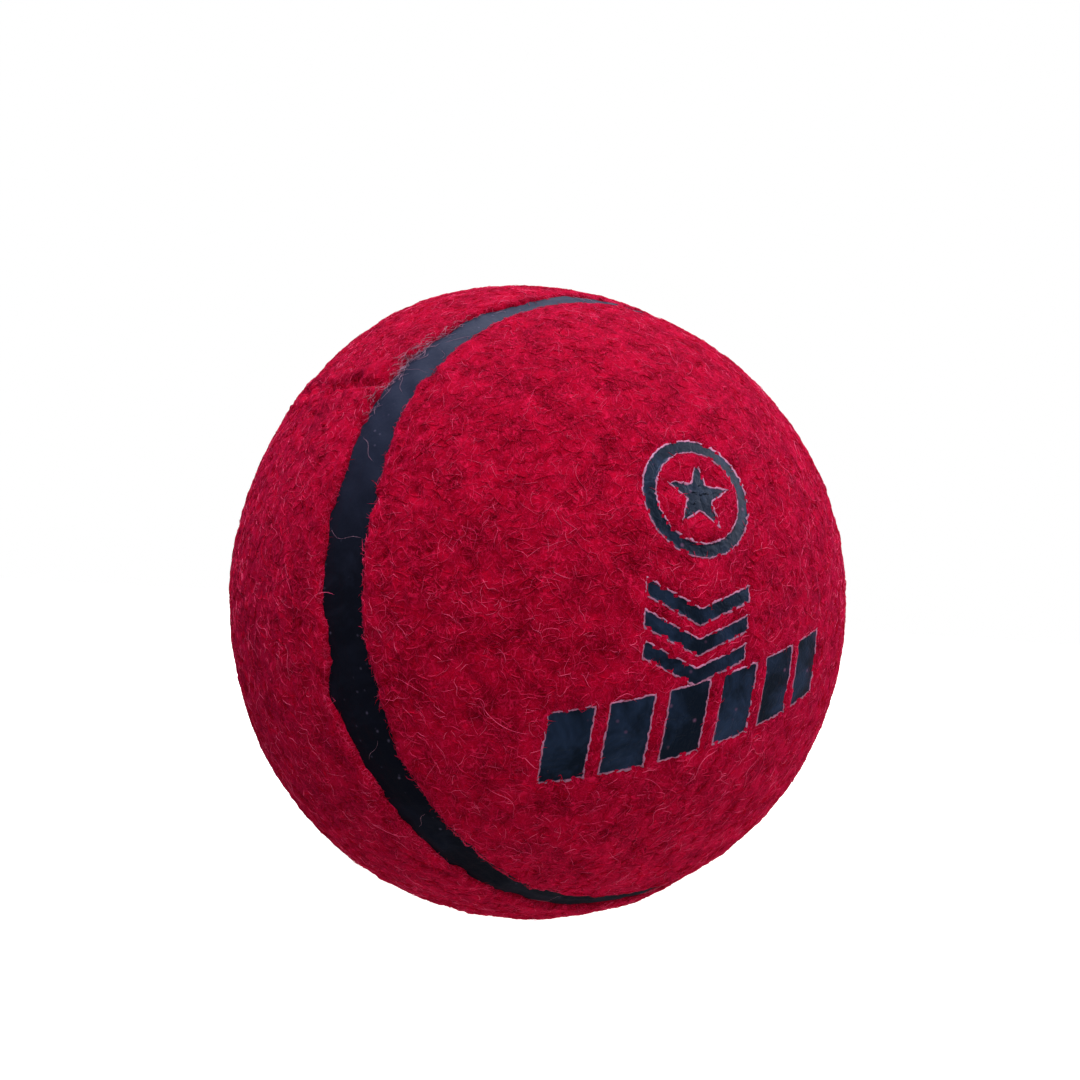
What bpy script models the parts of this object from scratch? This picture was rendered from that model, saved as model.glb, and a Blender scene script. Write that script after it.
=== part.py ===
"""Felt-covered cricket ball for street and tape-ball cricket, built as its real layers.

Two moulded rubber cups are cemented rim to rim into a hollow core. Two dumbbell-shaped felt
panels, each a woven backing with a raised nap on it, are cemented round the core and leave one
closed channel between them, which a black rubber seam fills. Inked film shapes are pressed on
the felt of panel A: a badge and, under it, a row of slanted blocks.

Frame: metres, origin at the centre of the ball. Panel A has its two round lobes on +X and -X
and its waist on +Y. Panel B is the same shape turned: lobes on +Z and -Z, waist on -Y. The
cups meet on the plane Y = 0, so Y is the axis about which the ball repeats after half a turn.

Every thin layer is a patch of an icosphere that planes through or near the centre cut to its
outline, given its thickness by a Solidify modifier. The cups and the cement ring are turned.
"""

import math

import bmesh
import bpy
from mathutils import Matrix, Vector

# Overall size: the outside of the felt, and the play left between pieces that touch.
BALL_RADIUS = 0.0330
GAP = 0.0003

# Layers from the outside in.
FILM_THICKNESS = 0.00025
NAP_THICKNESS = 0.0012
BACKING_THICKNESS = 0.0006
CEMENT_THICKNESS = 0.0004
CORE_WALL = 0.0045

FILM_RADIUS = BALL_RADIUS + GAP
NAP_RADIUS = BALL_RADIUS - NAP_THICKNESS
BACKING_RADIUS = NAP_RADIUS - GAP - BACKING_THICKNESS
CEMENT_RADIUS = BACKING_RADIUS - GAP - CEMENT_THICKNESS
CORE_SETBACK = 0.0005
CORE_RADIUS = CEMENT_RADIUS - CORE_SETBACK

# Core: the two cups stop short of the joint plane, and each rim has a thickened bead inside.
JOINT_CEMENT_THICKNESS = 0.0004
RIM_BEAD_DEPTH = 0.0007
RIM_BEAD_HEIGHT = 0.0030
CUP_STEPS = 32
CUP_ARC_POINTS = 10

# Seam: how far each round lobe's centre leans from its axis towards the lobe's tip decides how
# narrow the waists are. The four lobe circles then meet smoothly on the plane Y = 0.
LOBE_LEAN = math.radians(21.7)
LOBE_RADIUS = math.acos(math.cos(LOBE_LEAN) * math.cos(math.pi / 4))
SEAM_WIDTH = 0.0030
SEAM_PLAY = 0.0004
SEAM_SINK = 0.0006
SEAM_RADIUS = CEMENT_RADIUS
BACKING_INSET = 0.0005

# Icosphere subdivisions: 4 gives edges of about 4 mm on this ball, and each step halves them.
SKIN_LEVEL = 4
INNER_LEVEL = 3
BLOCK_LEVEL = 5
RING_LEVEL = 6
SNAP = 0.002

# Print: where its middle faces, and how far its base line is turned about that direction.
PRINT_AZIMUTH = math.radians(-33.0)
PRINT_ELEVATION = math.radians(-7.5)
PRINT_TILT = math.radians(15.0)

BLOCK_COUNT = 6
BLOCK_WIDTH = 0.0029
BLOCK_PITCH = 0.0039
BLOCK_HEIGHT = 0.0046
BLOCK_SLANT = 0.0012
BLOCK_ROW_X = 0.0012
BLOCK_ROW_Y = -0.0051

BADGE_X = 0.0022
BADGE_Y = 0.0055
BADGE_LEAN = math.radians(-14.0)
RING_CENTRE_Y = 0.0032
RING_OUTER = 0.0040
RING_INNER = 0.0031
STAR_RADIUS = 0.0024
STAR_WAIST = 0.382
CHEVRON_NAMES = ("upper", "middle", "lower")
CHEVRON_HALF_WIDTH = 0.0038
CHEVRON_RISE = 0.0017
CHEVRON_BAND = 0.0011
CHEVRON_PITCH = 0.0019
CHEVRON_TOP_Y = -0.0022

COLLECTION_NAME = "cricket_ball"


def clear_scene():
    """Remove every object that the opened file holds."""
    for thing in list(bpy.data.objects):
        bpy.data.objects.remove(thing, do_unlink=True)


def make_material(name, colour, roughness, metallic=0.0):
    """One Principled material with a plain colour."""
    material = bpy.data.materials.new(name)
    material.use_nodes = True
    shader = material.node_tree.nodes["Principled BSDF"]
    shader.inputs["Base Color"].default_value = (*colour, 1.0)
    shader.inputs["Roughness"].default_value = roughness
    shader.inputs["Metallic"].default_value = metallic
    material.diffuse_color = (*colour, 1.0)
    return material


def add_object(name, mesh, material, parts, root):
    """Place a finished mesh in the ball's collection, under its root empty."""
    mesh.materials.append(material)
    mesh.shade_smooth()
    mesh.set_sharp_from_angle(angle=math.radians(40))
    thing = bpy.data.objects.new(name, mesh)
    parts.objects.link(thing)
    thing.parent = root
    return thing


def lobe_circles():
    """The four lobe circles: (centre direction, sign of Y where its arc is the seam)."""
    lean = math.sin(LOBE_LEAN)
    reach = math.cos(LOBE_LEAN)
    circles = []
    for side in (1, -1):
        circles.append((Vector((side * reach, -lean, 0)), -1))
        circles.append((Vector((0, lean, side * reach)), 1))
    return circles


def seam_angle(point):
    """Signed angle from the middle of the seam: positive on panel A, negative on panel B."""
    half = -1 if point.y < 0 else 1
    depths = [LOBE_RADIUS - point.angle(centre) for centre, side in lobe_circles() if side == half]
    return -half * max(depths)


def unit_sphere(level):
    """An icosphere of radius 1 as a bmesh."""
    sphere = bmesh.new()
    bmesh.ops.create_icosphere(sphere, subdivisions=level, radius=1.0)
    return sphere


def cut(sphere, normal, distance=0.0, side=0):
    """Cut faces along a plane; side limits the cut to the faces on one side of Y = 0.

    A corner closer to the cut line than SNAP counts as on it. The line's plane is slanted to
    the surface when it is far from the centre, so the allowed height above it shrinks with it.
    """
    faces = [f for f in sphere.faces if side == 0 or f.calc_center_median().y * side > 0]
    edges = {edge for face in faces for edge in face.edges}
    corners = {corner for face in faces for corner in face.verts}
    bmesh.ops.bisect_plane(
        sphere,
        geom=[*corners, *edges, *faces],
        dist=SNAP * math.sqrt(1 - distance * distance),
        plane_co=normal * distance,
        plane_no=normal,
    )


def keep_faces(sphere, wanted):
    """Delete every face whose middle direction is not wanted."""
    unwanted = [f for f in sphere.faces if not wanted(f.calc_center_median().normalized())]
    bmesh.ops.delete(sphere, geom=unwanted, context="FACES")


def sphere_patch(sphere, radius, name):
    """Push the cut patch out to its radius and store it as a mesh."""
    bmesh.ops.remove_doubles(sphere, verts=sphere.verts, dist=SNAP)
    for corner in sphere.verts:
        corner.co = corner.co.normalized() * radius
    mesh = bpy.data.meshes.new(name)
    sphere.to_mesh(mesh)
    sphere.free()
    return mesh


def thicken(thing, thickness):
    """Give an open patch its thickness, outwards."""
    wall = thing.modifiers.new("wall", "SOLIDIFY")
    wall.thickness = thickness
    wall.offset = 1.0


def seam_cut_sphere(level, half_angle):
    """A sphere cut along both edges of a channel that is half_angle to each side of the seam."""
    sphere = unit_sphere(level)
    cut(sphere, Vector((0, 1, 0)))
    for centre, side in lobe_circles():
        for offset in (half_angle, -half_angle):
            cut(sphere, centre, math.cos(LOBE_RADIUS + offset), side)
    return sphere


def panel_layer(name, panel, radius, thickness, inset, level, material, parts, root):
    """One layer of panel A (panel = 1) or B (panel = -1), set back from the seam's middle."""
    half_angle = inset / BALL_RADIUS
    sphere = seam_cut_sphere(level, half_angle)
    keep_faces(sphere, lambda point: panel * seam_angle(point) > half_angle)
    mesh = sphere_patch(sphere, radius, name)
    thicken(add_object(name, mesh, material, parts, root), thickness)


def seam_strip(material, parts, root):
    """The rubber that fills the channel between the panels, one closed loop."""
    half_angle = SEAM_WIDTH / 2 / BALL_RADIUS
    sphere = seam_cut_sphere(SKIN_LEVEL, half_angle)
    keep_faces(sphere, lambda point: abs(seam_angle(point)) < half_angle)
    mesh = sphere_patch(sphere, SEAM_RADIUS, "seam_rubber")
    strip = add_object("seam_rubber", mesh, material, parts, root)
    thicken(strip, BALL_RADIUS - SEAM_SINK - SEAM_RADIUS)


def turned(name, profile, closed, material, parts, root):
    """A solid of revolution from (radius, height) points that run down its outer side."""
    count = len(profile)
    edges = [(i, i + 1) for i in range(count - 1)]
    if closed:
        edges.append((count - 1, 0))
    mesh = bpy.data.meshes.new(name)
    mesh.from_pydata([(r, 0, h) for r, h in profile], edges, [])
    thing = add_object(name, mesh, material, parts, root)
    spin = thing.modifiers.new("spin", "SCREW")
    spin.axis = "Z"
    spin.steps = CUP_STEPS
    spin.render_steps = CUP_STEPS
    spin.use_merge_vertices = True
    spin.merge_threshold = 0.0001
    spin.use_smooth_shade = True
    return thing


def arc(radius, start, end, count):
    """Points on a circle about the origin as (radius, height), angles up from the equator."""
    steps = [start + (end - start) * i / (count - 1) for i in range(count)]
    return [(radius * math.cos(a), radius * math.sin(a)) for a in steps]


def core_cups(material, parts, root):
    """Two equal cups, their poles on -Y and +Y, each with a bead inside its rim."""
    rim = JOINT_CEMENT_THICKNESS / 2 + GAP
    inner = CORE_RADIUS - CORE_WALL
    bead = inner - RIM_BEAD_DEPTH
    top = math.pi / 2
    outside = arc(CORE_RADIUS, top, math.asin(rim / CORE_RADIUS), CUP_ARC_POINTS)
    bead_end = math.asin((rim + RIM_BEAD_HEIGHT) / inner)
    inside = arc(inner, bead_end, top, CUP_ARC_POINTS)
    lip = [(bead, rim), (bead, rim + RIM_BEAD_HEIGHT - RIM_BEAD_DEPTH)]
    outside[0] = (0, CORE_RADIUS)
    inside[-1] = (0, inner)
    for name, turn in (("core_cup_left", 1), ("core_cup_right", -1)):
        cup = turned(name, outside + lip + inside, False, material, parts, root)
        cup.rotation_euler = (turn * math.pi / 2, 0, 0)


def core_joint(material, parts, root):
    """The flat ring of cement between the two rims."""
    half = JOINT_CEMENT_THICKNESS / 2
    outer = CORE_RADIUS - GAP
    inner = CORE_RADIUS - CORE_WALL - RIM_BEAD_DEPTH + GAP
    profile = [(outer, half), (outer, -half), (inner, -half), (inner, half)]
    ring = turned("core_joint_cement", profile, True, material, parts, root)
    ring.rotation_euler = (math.pi / 2, 0, 0)


def print_frame():
    """Columns: right, up and out at the middle of the print."""
    turn = Matrix.Rotation(PRINT_AZIMUTH, 3, "Z") @ Matrix.Rotation(-PRINT_ELEVATION, 3, "Y")
    upright = Matrix(((0, 0, 1), (1, 0, 0), (0, 1, 0)))
    return turn @ upright @ Matrix.Rotation(PRINT_TILT, 3, "Z")


def frame_at(frame, x, y, lean):
    """The same kind of frame, moved over the ball by (x, y) and turned by lean."""
    out = (frame @ Vector((x / FILM_RADIUS, y / FILM_RADIUS, 1))).normalized()
    right = frame.col[0] - frame.col[0].dot(out) * out
    right.normalize()
    moved = Matrix((right, out.cross(right), out)).transposed()
    return moved @ Matrix.Rotation(lean, 3, "Z")


def inside_outline(x, y, outline):
    """Even-odd test of a point against a closed outline."""
    inside = False
    for (x0, y0), (x1, y1) in zip(outline, outline[1:] + outline[:1]):
        if (y0 > y) != (y1 > y) and x < x0 + (y - y0) * (x1 - x0) / (y1 - y0):
            inside = not inside
    return inside


def film_shape(name, frame, outline, material, parts, root):
    """A film patch whose straight-sided outline is drawn in the frame's right-up plane."""
    reach = max(math.hypot(x, y) for x, y in outline) / FILM_RADIUS
    sphere = unit_sphere(BLOCK_LEVEL)
    keep_faces(sphere, lambda point: point.angle(frame.col[2]) < 2 * reach)
    rays = [frame @ Vector((x, y, FILM_RADIUS)) for x, y in outline]
    for ray, following in zip(rays, rays[1:] + rays[:1]):
        cut(sphere, ray.cross(following).normalized())

    def wanted(point):
        x, y, depth = frame.transposed() @ point * FILM_RADIUS
        return inside_outline(x / depth * FILM_RADIUS, y / depth * FILM_RADIUS, outline)

    keep_faces(sphere, wanted)
    mesh = sphere_patch(sphere, FILM_RADIUS, name)
    thicken(add_object(name, mesh, material, parts, root), FILM_THICKNESS)


def film_ring(name, frame, material, parts, root):
    """A round ring of film about the frame's outward direction."""
    out = frame.col[2].copy()
    edges = (RING_INNER / FILM_RADIUS, RING_OUTER / FILM_RADIUS)
    sphere = unit_sphere(RING_LEVEL)
    keep_faces(sphere, lambda point: point.angle(out) < 2 * edges[1])
    for edge in edges:
        cut(sphere, out, math.cos(edge))
    keep_faces(sphere, lambda point: edges[0] < point.angle(out) < edges[1])
    mesh = sphere_patch(sphere, FILM_RADIUS, name)
    thicken(add_object(name, mesh, material, parts, root), FILM_THICKNESS)


def star_outline():
    """Five points and five waists about the origin, one point up."""
    radii = (STAR_RADIUS, STAR_RADIUS * STAR_WAIST)
    turns = [math.pi / 2 + i * math.pi / 5 for i in range(10)]
    return [(radii[i % 2] * math.cos(a), radii[i % 2] * math.sin(a)) for i, a in enumerate(turns)]


def chevron_outline(top):
    """A V-shaped band whose ends are at height top."""
    half = CHEVRON_HALF_WIDTH
    low = top - CHEVRON_RISE
    band = CHEVRON_BAND
    return [(-half, top), (-half, top - band), (0, low - band), (half, top - band), (half, top), (0, low)]


def block_outline():
    """A slanted block, its foot to the left of its head."""
    half_width = BLOCK_WIDTH / 2
    half_height = BLOCK_HEIGHT / 2
    shift = BLOCK_SLANT / 2
    return [
        (-half_width - shift, -half_height),
        (half_width - shift, -half_height),
        (half_width + shift, half_height),
        (-half_width + shift, half_height),
    ]


def badge(material, parts, root):
    """A ring with a star in it, over three chevrons."""
    middle = frame_at(print_frame(), BADGE_X, BADGE_Y, BADGE_LEAN)
    crown = frame_at(middle, 0, RING_CENTRE_Y, 0)
    film_ring("badge_ring", crown, material, parts, root)
    film_shape("badge_star", crown, star_outline(), material, parts, root)
    for i, name in enumerate(CHEVRON_NAMES):
        outline = chevron_outline(CHEVRON_TOP_Y - i * CHEVRON_PITCH)
        film_shape(f"badge_chevron_{name}", middle, outline, material, parts, root)


def block_row(material, parts, root):
    """A row of equal slanted blocks under the badge."""
    for i in range(BLOCK_COUNT):
        x = BLOCK_ROW_X + (i - (BLOCK_COUNT - 1) / 2) * BLOCK_PITCH
        place = frame_at(print_frame(), x, BLOCK_ROW_Y, 0)
        film_shape(f"print_block_{i + 1}", place, block_outline(), material, parts, root)


def main():
    """Build the ball from the core outwards."""
    clear_scene()
    parts = bpy.data.collections.new(COLLECTION_NAME)
    bpy.context.scene.collection.children.link(parts)
    root = bpy.data.objects.new("ball_centre", None)
    root.empty_display_size = BALL_RADIUS / 2
    parts.objects.link(root)

    core_rubber = make_material("core_rubber", (0.045, 0.040, 0.038), 0.75)
    cement = make_material("cement", (0.55, 0.45, 0.28), 0.60)
    backing_cloth = make_material("backing_cloth", (0.30, 0.030, 0.045), 0.95)
    felt = make_material("felt", (0.40, 0.005, 0.030), 1.0)
    seam_rubber = make_material("seam_rubber", (0.012, 0.012, 0.020), 0.55)
    ink_film = make_material("ink_film", (0.014, 0.022, 0.040), 0.35)

    core_cups(core_rubber, parts, root)
    core_joint(cement, parts, root)
    edge = SEAM_WIDTH / 2 + SEAM_PLAY
    inner_edge = edge + BACKING_INSET
    for label, panel in (("a", 1), ("b", -1)):
        panel_layer(f"panel_cement_{label}", panel, CEMENT_RADIUS, CEMENT_THICKNESS,
                    inner_edge, INNER_LEVEL, cement, parts, root)
        panel_layer(f"felt_backing_{label}", panel, BACKING_RADIUS, BACKING_THICKNESS,
                    inner_edge, INNER_LEVEL, backing_cloth, parts, root)
        panel_layer(f"felt_nap_{label}", panel, NAP_RADIUS, NAP_THICKNESS,
                    edge, SKIN_LEVEL, felt, parts, root)
    seam_strip(seam_rubber, parts, root)
    badge(ink_film, parts, root)
    block_row(ink_film, parts, root)


main()
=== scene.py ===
# %% [markdown]
# # A felt-covered cricket ball
#
# The ball is a hollow rubber core with two dumbbell-shaped felt panels glued round it and a
# black rubber seam in the channel between them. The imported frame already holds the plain
# layers at their true sizes. This lesson gives the visible ones their real surface: matted
# wool with pits and curls, a torn-looking felt edge, ridged seam rubber and a pressed film
# print. Everything is worked out with numpy, in metres, about the centre of the ball. The
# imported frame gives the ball's size, the bodies and the pieces that the new ones stand for.

import math

import bmesh
import bpy
import numpy as np
from mathutils import Matrix, Vector


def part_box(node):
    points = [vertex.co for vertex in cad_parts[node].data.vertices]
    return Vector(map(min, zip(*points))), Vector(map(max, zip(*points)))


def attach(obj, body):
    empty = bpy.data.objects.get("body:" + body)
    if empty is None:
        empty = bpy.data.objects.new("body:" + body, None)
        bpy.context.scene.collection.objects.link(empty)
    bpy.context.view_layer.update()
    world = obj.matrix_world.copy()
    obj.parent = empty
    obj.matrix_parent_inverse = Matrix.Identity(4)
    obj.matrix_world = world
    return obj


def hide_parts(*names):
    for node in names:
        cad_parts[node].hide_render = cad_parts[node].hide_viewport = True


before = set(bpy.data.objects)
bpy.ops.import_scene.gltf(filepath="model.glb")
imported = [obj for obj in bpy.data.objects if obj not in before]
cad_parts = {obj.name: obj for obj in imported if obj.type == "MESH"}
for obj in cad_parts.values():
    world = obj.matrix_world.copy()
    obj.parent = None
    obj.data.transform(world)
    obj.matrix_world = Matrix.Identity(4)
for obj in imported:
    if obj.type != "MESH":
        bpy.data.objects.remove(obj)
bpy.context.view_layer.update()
BODY = "root"
felt_low, felt_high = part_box("felt_nap_a")
BALL = (felt_high[0] - felt_low[0]) / 2
print(f"ball radius {BALL * 1000:.1f} mm, {len(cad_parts)} packed pieces")

# %% [markdown]
# ## Numbers that follow one rule
#
# Felt is irregular at every size, so the shapes need random fields. Blender's own Noise
# texture could displace a mesh, but a field written as a sum of plane waves is one matrix
# product over all the points, gives the same values on every machine, and can be asked for at
# any point of space: the felt, the hairs that lie on it and the film pressed into it then all
# read the same relief.


# %% Random fields
MM = 0.001


def waves(points, size, seed, count=40):
    """A smooth random field: the sum of count sine waves in random directions, whose lengths
    are 0.7 to 1.5 times size, divided so that the field's spread is about 1."""
    random = np.random.default_rng(seed)
    heading = random.normal(size=(count, 3))
    heading /= np.linalg.norm(heading, axis=1)[:, None]
    length = size * random.uniform(0.7, 1.5, count)
    phase = random.uniform(0, 2 * np.pi, count)
    return np.sin(points @ (heading * (2 * np.pi / length)[:, None]).T + phase).sum(1) * (2 / count) ** 0.5


def step(low, high, value):
    """0 below low, 1 above high and a smooth S between them: 3t^2 - 2t^3."""
    t = np.clip((value - low) / (high - low), 0, 1)
    return t * t * (3 - 2 * t)


def unit(vectors):
    """Each row divided by its length."""
    return vectors / np.linalg.norm(vectors, axis=-1, keepdims=True)


print("fields ready")

# %% [markdown]
# ## The seam line
#
# The seam of a two-panel ball is close to four arcs of circles. Each arc is the rim of one
# round lobe. Its circle is centred a little beyond the lobe's axis, towards the lobe's tip, so
# the four arcs meet without a corner in the plane between the two cups. The same lean and
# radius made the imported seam, and both can be read back from it: on the Y = 0 plane the seam
# stands at 45 degrees, and its furthest reach along Y is the tip of a lobe.

# %% Seam geometry
packed_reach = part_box("seam_rubber")[0][1]
LEAN = math.radians(21.7)
RHO = math.acos(math.cos(LEAN) * math.cos(math.pi / 4))
HALF_SEAM = 1.5 * MM
ARC_END = math.acos(-math.tan(LEAN) / math.tan(RHO))

LOBES_A = np.array([[s * math.cos(LEAN), -math.sin(LEAN), 0] for s in (1, -1)])
LOBES_B = np.array([[0, math.sin(LEAN), s * math.cos(LEAN)] for s in (1, -1)])


def seam_offset(points):
    """Distance over the ball from the middle of the seam, positive on panel A. Where y is
    negative it is the depth inside the nearer lobe circle of A, elsewhere it is the distance
    outside the nearer lobe circle of B. Also returns the direction in which it grows."""
    p = unit(points)
    near = p[:, 1] < 0
    centres = np.where(near[:, None, None], LOBES_A[None], LOBES_B[None])
    cosine = np.einsum("ik,ijk->ij", p, centres)
    best = cosine.argmax(1)
    rows = np.arange(len(p))
    angle = np.arccos(np.clip(cosine[rows, best], -1, 1))
    inward = unit(centres[rows, best] - cosine[rows, best][:, None] * p + 1e-9)
    side = np.where(near, 1.0, -1.0)
    return side * (RHO - angle) * BALL, inward * side[:, None]


def rim_point(angle):
    """Points of the +X lobe's circle at angles from its tip: the circle's centre times cos(rho)
    plus the direction of the rim at that angle times sin(rho)."""
    tip = np.array([-math.sin(LEAN), -math.cos(LEAN), 0])
    rim = np.cos(angle)[:, None] * tip + np.sin(angle)[:, None] * np.array([0, 0, 1.0])
    return math.cos(RHO) * LOBES_A[0] + math.sin(RHO) * rim


def seam_arc(count):
    """count points along the arc round the +X lobe's tip."""
    return rim_point(np.linspace(-ARC_END, ARC_END, count, endpoint=False))


def swap(points):
    """Half a turn about the line x = z, which puts panel A where panel B is."""
    return points[..., [2, 1, 0]] * np.array([1, -1, 1])


def seam_path(count):
    """The whole closed seam line, count points to each of its four arcs."""
    first = seam_arc(count)
    second = swap(first * np.array([1, 1, -1]))
    turn = np.array([-1, 1, -1])
    return np.concatenate([first, second, first * turn, second * turn])


print(f"seam circle {math.degrees(RHO):.1f} degrees, packed seam reaches y {packed_reach * 1000:.1f} mm")
path_gap = np.linalg.norm(np.diff(seam_path(50), axis=0), axis=1)
print(f"seam path steps {path_gap.min() * BALL * 1000:.2f} to {path_gap.max() * BALL * 1000:.2f} mm")

# %% [markdown]
# ## From arrays to meshes
#
# Every new piece is a grid of points. `grid_faces` joins a grid into quads, closed round in
# either direction if asked, and `make_piece` puts the arrays into a mesh with foreach_set,
# names it, and says which body it rides on. All the pieces stay at the origin, unturned.


# %% Mesh helpers
def grid_faces(rows, columns, round_rows=False, round_columns=False):
    """The quads of a rows x columns grid as corner numbers."""
    number = np.arange(rows * columns).reshape(rows, columns)
    if round_rows:
        number = np.vstack([number, number[:1]])
    if round_columns:
        number = np.hstack([number, number[:, :1]])
    corners = (number[:-1, :-1], number[1:, :-1], number[1:, 1:], number[:-1, 1:])
    return np.stack([c.ravel() for c in corners], axis=1)


def fill_mesh(name, points, faces):
    """A mesh from an array of points and one of quads or triangles."""
    mesh = bpy.data.meshes.new(name)
    sides = faces.shape[1]
    mesh.vertices.add(len(points))
    mesh.loops.add(faces.size)
    mesh.polygons.add(len(faces))
    mesh.vertices.foreach_set("co", points.astype(np.float32).ravel())
    mesh.loops.foreach_set("vertex_index", faces.astype(np.int32).ravel())
    mesh.polygons.foreach_set("loop_start", np.arange(len(faces), dtype=np.int32) * sides)
    mesh.update(calc_edges=True)
    mesh.shade_smooth()
    return mesh


def make_piece(name, points, faces, material):
    """An object at the origin that rides on the ball's body and takes the named finish."""
    piece = bpy.data.objects.new(name, fill_mesh(name, points, faces))
    piece.data.materials.append(material)
    bpy.context.scene.collection.objects.link(piece)
    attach(piece, BODY)
    print(f"{name}: {len(points)} points, {len(faces)} faces")
    return piece


# %% [markdown]
# ## Where the film print lies
#
# The print's shapes are packed as thin plates just clear of the felt. On the real ball they
# are pressed into it, so the new film pieces keep each plate's place and outline and drop to
# the felt's level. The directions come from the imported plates: a plate's middle is the mean of
# its points, and the badge's upright runs from its lowest chevron to its ring. A shape is
# drawn flat in its own right-up plane and thrown on the ball through the centre.


# %% Print outlines
def plate_points(node):
    """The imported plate's points as rows."""
    return np.array([v.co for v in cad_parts[node].data.vertices])


def plate_middle(node):
    """Direction of the middle of the plate's box of directions."""
    points = unit(plate_points(node))
    return unit(points.min(0) + points.max(0))


def plate_frame(middle, upright):
    """Rows right, up and out for a plate, upright being any direction near its up."""
    up = unit(upright - upright @ middle * middle)
    return np.array([np.cross(up, middle), up, middle])


def plate_plane(points, axes):
    """Flat coordinates of directions: the ray through each is cut with the plane that touches
    the ball at the plate's middle."""
    seen = points @ axes.T
    return seen[:, :2] / np.maximum(seen[:, 2:], 0.05) * BALL


# How far a block's head leans from its middle, and the width of a chevron's band.
SLANT = 0.6 * MM
BAND = 1.1 * MM
STAR_NOTCH = 0.40
BLOCKS = [f"print_block_{i + 1}" for i in range(6)]
CHEVRONS = [f"badge_chevron_{name}" for name in ("upper", "middle", "lower")]
badge_up = plate_middle("badge_ring") - plate_middle(CHEVRONS[-1])
row_right = plate_middle(BLOCKS[-1]) - plate_middle(BLOCKS[0])


def outline_of(node, axes):
    """Half width and half height of a plate in its own plane, and the middle of that box."""
    flat = plate_plane(unit(plate_points(node)), axes)
    return (flat.max(0) - flat.min(0)) / 2, (flat.max(0) + flat.min(0)) / 2


def block_corners(node):
    """Frame and the four corners of a slanted block, from its foot's left corner round."""
    middle = plate_middle(node)
    axes = plate_frame(middle, np.cross(middle, row_right))
    (half_width, half_height), (x, y) = outline_of(node, axes)
    half_width -= SLANT
    corners = [
        (-half_width - SLANT, -half_height),
        (half_width - SLANT, -half_height),
        (half_width + SLANT, half_height),
        (-half_width + SLANT, half_height),
    ]
    return axes, np.array(corners) + (x, y)


def chevron_corners(node):
    """Frame and the six corners of a chevron, down its left arm and up its right."""
    axes = plate_frame(plate_middle(node), badge_up)
    (half_width, half_height), (x, y) = outline_of(node, axes)
    top, low = half_height, -half_height + BAND
    corners = [
        (-half_width, top),
        (-half_width, top - BAND),
        (0, low - BAND),
        (half_width, top - BAND),
        (half_width, top),
        (0, low),
    ]
    return axes, np.array(corners) + (x, y)


def star_corners(node):
    """Frame and the ten corners of the star."""
    axes = plate_frame(plate_middle("badge_ring"), badge_up)
    reach = np.linalg.norm(plate_plane(unit(plate_points(node)), axes), axis=1).max()
    turn = np.pi / 2 + np.arange(10) * np.pi / 5
    radius = np.where(np.arange(10) % 2 == 0, reach, reach * STAR_NOTCH)
    return axes, np.stack([radius * np.cos(turn), radius * np.sin(turn)], axis=1)


SHAPES = {node: block_corners(node) for node in BLOCKS}
SHAPES |= {node: chevron_corners(node) for node in CHEVRONS}
SHAPES["badge_star"] = star_corners("badge_star")
ring_axes = plate_frame(plate_middle("badge_ring"), badge_up)
ring_reach = np.linalg.norm(plate_plane(unit(plate_points("badge_ring")), ring_axes), axis=1)
RING_IN, RING_OUT = ring_reach.min(), ring_reach.max()


# Where a distance starts before it is measured: further than anything on the ball, in metres.
FAR = 1.0
# Only directions within about 53 degrees of the upper chevron can meet the print.
NEAR_PRINT = 0.6


def outline_distance(flat, corners):
    """Signed distance of flat points to a closed outline, negative inside: the least distance
    to an edge, and a point is inside when a ray from it crosses the edges an odd number of
    times."""
    least = np.full(len(flat), FAR)
    inside = np.zeros(len(flat), bool)
    for start, end in zip(corners, np.roll(corners, -1, axis=0)):
        along = end - start
        share = np.clip((flat - start) @ along / (along @ along), 0, 1)
        least = np.minimum(least, np.linalg.norm(flat - start - share[:, None] * along, axis=1))
        crosses = (start[1] > flat[:, 1]) != (end[1] > flat[:, 1])
        rise = along[1] if abs(along[1]) > 1e-12 else 1e-12
        inside ^= crosses & (flat[:, 0] < start[0] + (flat[:, 1] - start[1]) * along[0] / rise)
    return np.where(inside, -least, least)


def print_distance(points):
    """Signed distance of each direction to the nearest film shape, negative under the film."""
    p = unit(points)
    signed = np.full(len(p), FAR)
    close = p @ plate_middle(CHEVRONS[0]) > NEAR_PRINT
    q = p[close]
    nearest = np.full(len(q), FAR)
    for axes, corners in SHAPES.values():
        nearest = np.minimum(nearest, outline_distance(plate_plane(q, axes), corners))
    radius = np.linalg.norm(plate_plane(q, ring_axes), axis=1)
    ring = np.abs(radius - (RING_IN + RING_OUT) / 2) - (RING_OUT - RING_IN) / 2
    signed[close] = np.minimum(nearest, ring)
    return signed


for node, (axes, corners) in SHAPES.items():
    size = (corners.max(0) - corners.min(0)) * 1000
    print(f"{node}: {size[0]:.1f} x {size[1]:.1f} mm")
print(f"ring {RING_IN * 1000:.1f} to {RING_OUT * 1000:.1f} mm")

# %% [markdown]
# ## The relief of the felt
#
# Felt could be left to a bump texture, but its clumps are a tenth of a millimetre deep and
# show on the outline of the ball and in its self-shadowing, so they are real height. The
# relief adds, in order: how far the pressed ball is from round, clumps of matted wool, the
# dark pits between them, one crease where the cloth folded as it was glued, and the dent of
# the film print, which also flattens the wool under it.

# %% Relief
CREASE = unit(np.array([
    (0.35, -0.84, 0.42),
    (0.29, -0.88, 0.37),
    (0.21, -0.91, 0.37),
    (0.06, -0.92, 0.40),
    (-0.06, -0.91, 0.42),
    (-0.15, -0.88, 0.45),
]))
PRESS_DEPTH = 0.16 * MM
PRESSED_FLAT = 0.85

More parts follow.
